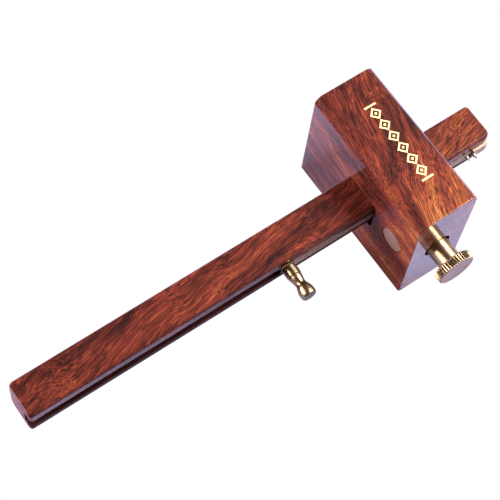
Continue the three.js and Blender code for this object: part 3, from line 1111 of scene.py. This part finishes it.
class GAUGE_OT_plate(bpy.types.Operator):
    """Model the fixed plate at the pin end, and the brad that holds it"""

    bl_idname = "gauge.plate"
    bl_label = "Fixed plate and brad"

    def execute(self, context):
        size = sizes()
        low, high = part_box("fixed_plate")
        lean = mitre_reach()
        plate = dovetail("fixed_plate_drawn", low.x - 2 * lean, high.x, low.y, size.groove_gap)
        mitre(plate, low.x + lean, keep_low=False)
        corner = size.beam_corner + (BEAM_LOW.y - low.y) / 2

        def at_outer_end(edge):
            return all(near(v.co.x, high.x) and near(v.co.y, low.y) for v in edge.verts)

        pick(plate, "edges", at_outer_end)
        bpy.ops.mesh.bevel(offset=corner, segments=8, affect="EDGES", clamp_overlap=False)
        tidy_shell(plate)
        brad_low, brad_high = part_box("plate_brad")
        brad = middle("plate_brad")
        head = (brad_high.x - brad_low.x) / 2
        shank = 0.6 * MM
        gap = 0.05 * MM
        countersink = [
            (0, low.y - MM),
            (head + gap, low.y - MM),
            (head + gap, low.y),
            (shank + gap, low.y + head),
            (shank + gap, brad_high.y),
            (0, brad_high.y),
        ]
        cut(plate, turn("brad_hole", countersink, brad, steps=32))
        cut(plate, pin_hole("fixed_pin", low.y))
        ease_edges(plate, size.crisp_edge)
        smooth(plate)
        colour = tinted(finish().dull_brass, 1.1, 1.1, 1.1)
        stand_in(plate, "fixed_plate", drawn_brass("plate_brass", colour, 0.4))

        piece = turn(
            "plate_brad_turned",
            [
                (0, brad_low.y),
                (head * 0.5, brad_low.y + 0.03 * MM),
                (head, low.y, 0.05 * MM),
                (shank, low.y + head),
                (shank, brad_high.y - MM),
                (0, brad_high.y),
            ],
            brad,
            steps=32,
        )
        smooth(piece)
        brass = turned_brass("brad_brass", finish().dull_brass, brad, ring=5200.0, roughness=0.3)
        stand_in(piece, "plate_brad", brass)
        return {"FINISHED"}


class GAUGE_OT_pins(bpy.types.Operator):
    """Turn the three steel pins"""

    bl_idname = "gauge.pins"
    bl_label = "Pins"

    def execute(self, context):
        steel = ground_steel("pin_steel")
        for node in ("fixed_pin", "sliding_pin", "marking_pin"):
            low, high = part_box(node)
            radius = (high.x - low.x) / 2
            tip, foot = (high.y, low.y) if node == "marking_pin" else (low.y, high.y)
            out = 1 if tip > foot else -1
            shoulder = tip - out * 1.8 * MM
            piece = turn(
                node + "_ground",
                [
                    (0, foot),
                    (radius, foot, 0.1 * MM),
                    (radius, shoulder, 0.25 * MM),
                    (0.06 * MM, tip - out * 0.06 * MM),
                    (0, tip),
                ],
                middle(node),
                steps=32,
            )
            smooth(piece)
            stand_in(piece, node, steel)
        return {"FINISHED"}


class GAUGE_OT_stage(bpy.types.Operator):
    """Set up the floor, the soft light and the camera"""

    bl_idname = "gauge.stage"
    bl_label = "Stage"

    def execute(self, context):
        studio = context.scene.gauge_studio
        self.camera(studio)
        self.floor(studio)
        self.sky(studio)
        self.softbox("key_softbox", studio.key, (1.0, -0.22, 1.2), 0.9, 0.5, (1.0, 0.97, 0.93))
        self.softbox("fill_softbox", studio.fill, (-1.0, 0.6, 0.45), 1.0, 0.7, (1.0, 0.84, 0.80))
        self.softbox("front_softbox", studio.front, (0.25, -1.0, 0.75), 0.9, 0.6, (0.97, 0.96, 1.0))
        context.scene.view_settings.view_transform = "Standard"
        return {"FINISHED"}

    def camera(self, studio):
        run, drop = math.cos(studio.height), math.sin(studio.height)
        view = Vector((math.sin(studio.turn) * run, math.cos(studio.turn) * run, -drop))
        level = view.cross(Vector((0, 0, 1))).normalized()
        upright = level.cross(view)
        right = level * math.cos(studio.roll) + upright * math.sin(studio.roll)
        up = right.cross(view)
        aim = Vector((CENTRE.x + 0.1 * MM, CENTRE.y + 11.33 * MM, AXIS_Z))
        select_nothing()
        bpy.ops.object.camera_add()
        camera = bpy.context.object
        camera.name = "gauge_camera"
        axes = Matrix((right, up, -view)).transposed().to_4x4()
        camera.matrix_world = Matrix.Translation(aim - view * studio.distance) @ axes
        camera.data.sensor_width = SENSOR_WIDTH
        camera.data.lens = studio.lens
        camera.data.clip_start = 0.01
        bpy.context.scene.camera = camera

    def floor(self, studio):
        """A floor that the pieces reflect in its own colour and the camera sees as plain white."""
        select_nothing()
        bpy.ops.mesh.primitive_plane_add(size=8, location=(0, 0, -0.02 * MM))
        floor = bpy.context.object
        floor.name = "floor"
        graph = Graph("floor_finish")
        lit = graph.node("ShaderNodeBsdfDiffuse", None, {"Color": (*studio.floor, 1)})
        graph.show_white(lit, "ShaderNodeEmission", "ShaderNodeOutputMaterial")
        floor.data.materials.append(graph.material)

    def sky(self, studio):
        """A dim room, brighter low down, which the camera sees as plain white."""
        world = bpy.data.worlds.new("studio")
        world.use_nodes = True
        bpy.context.scene.world = world
        graph = Graph(world=world)
        up = graph.split(graph.node("ShaderNodeTexCoord", output="Generated"))[Z]
        glow = graph.ramp(up, [(0.0, (0.7, 0.7, 0.8)), (0.25, (0.4, 0.4, 0.45)), (0.6, (0.05, 0.05, 0.06))])
        room = graph.node("ShaderNodeBackground", None, {"Color": glow, "Strength": studio.sky})
        graph.show_white(room, "ShaderNodeBackground", "ShaderNodeOutputWorld")

    def softbox(self, name, power, direction, distance, side, colour):
        select_nothing()
        towards = Vector(direction).normalized()
        bpy.ops.object.light_add(type="AREA", location=Vector((0, 0, AXIS_Z)) + towards * distance)
        lamp = bpy.context.object
        lamp.name = name
        lamp.rotation_euler = towards.to_track_quat("Z", "Y").to_euler()
        lamp.data.shape = "SQUARE"
        lamp.data.size = side
        lamp.data.energy = power
        lamp.data.color = colour


class GAUGE_PT_parts(bpy.types.Panel):
    """Lists the pieces, the sizes and the finishes"""

    bl_idname = "GAUGE_PT_parts"
    bl_label = "Marking Gauge"
    bl_space_type = "VIEW_3D"
    bl_region_type = "UI"
    bl_category = "Gauge"

    def draw(self, context):
        for operator in OPERATORS:
            self.layout.operator(operator.bl_idname)
        for group in (context.scene.gauge_sizes, context.scene.gauge_finish, context.scene.gauge_studio):
            column = self.layout.column(align=True)
            for name in group.bl_rna.properties.keys():
                if name not in ("rna_type", "name"):
                    column.prop(group, name)


GROUPS = {"gauge_sizes": GAUGE_PG_sizes, "gauge_finish": GAUGE_PG_finish, "gauge_studio": GAUGE_PG_studio}
OPERATORS = (
    GAUGE_OT_stage,
    GAUGE_OT_stock,
    GAUGE_OT_beam,
    GAUGE_OT_thumbscrew,
    GAUGE_OT_slide,
    GAUGE_OT_plate,
    GAUGE_OT_pins,
)


def register():
    for cls in (*GROUPS.values(), *OPERATORS, GAUGE_PT_parts):
        bpy.utils.register_class(cls)
    for name, group in GROUPS.items():
        setattr(bpy.types.Scene, name, bpy.props.PointerProperty(type=group))


def unregister():
    for name in GROUPS:
        delattr(bpy.types.Scene, name)
    for cls in (GAUGE_PT_parts, *reversed(OPERATORS), *GROUPS.values()):
        bpy.utils.unregister_class(cls)


def main():
    register()
    bpy.ops.gauge.stage()
    bpy.ops.gauge.stock()
    bpy.ops.gauge.beam()
    bpy.ops.gauge.thumbscrew()
    bpy.ops.gauge.slide()
    bpy.ops.gauge.plate()
    bpy.ops.gauge.pins()
    select_nothing()


if __name__ == "__main__":
    main()
